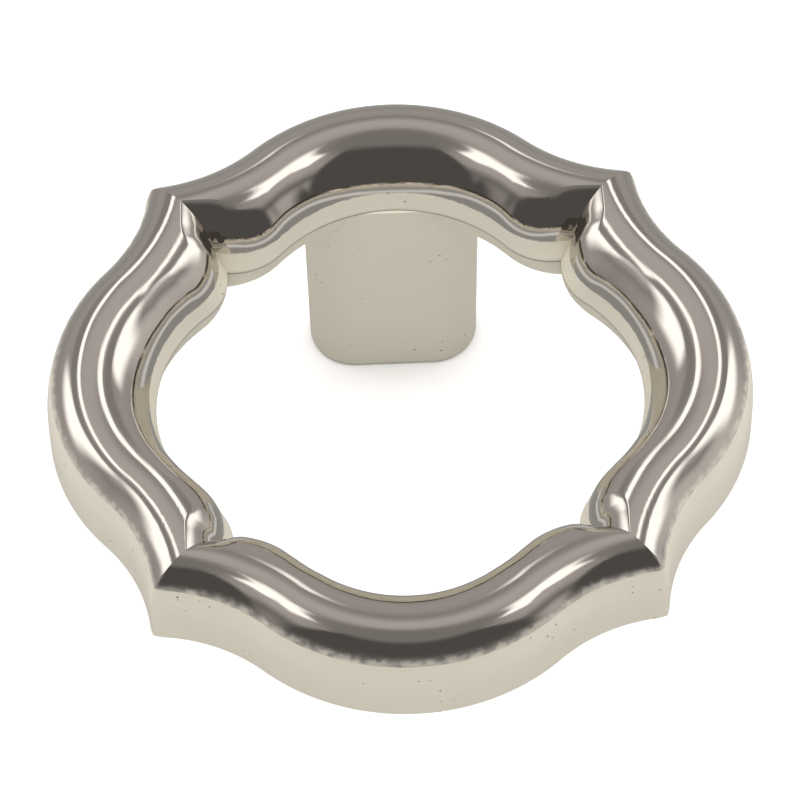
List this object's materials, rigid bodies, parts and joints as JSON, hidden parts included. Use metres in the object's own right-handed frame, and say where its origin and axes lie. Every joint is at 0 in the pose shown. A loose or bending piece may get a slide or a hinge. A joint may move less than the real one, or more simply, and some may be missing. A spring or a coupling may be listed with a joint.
{
  "type": "ring pull handle",
  "caption": "Quatrefoil ring pull with pointed mitred corners, a domed polished crown and a single oblong post, fixed by a screw from behind the drawer front.",
  "frame": {"origin": "centre of the screw hole's mouth, in the post's foot face, which lies on the drawer front", "axes": "+Z out of the drawer front, towards the ring; +Y from the ring's centre towards the post, so the ring hangs towards -Y; +X to the right when seen from the front with the post at the top"},
  "size_m": [0.0562, 0.0563, 0.0266],
  "materials": {
    "polished_nickel": "mirror-polished warm nickel plate, satin inside the opening"
  },
  "bodies": {
    "root": {"ring_pull": "polished_nickel"}
  },
  "joints": []
}
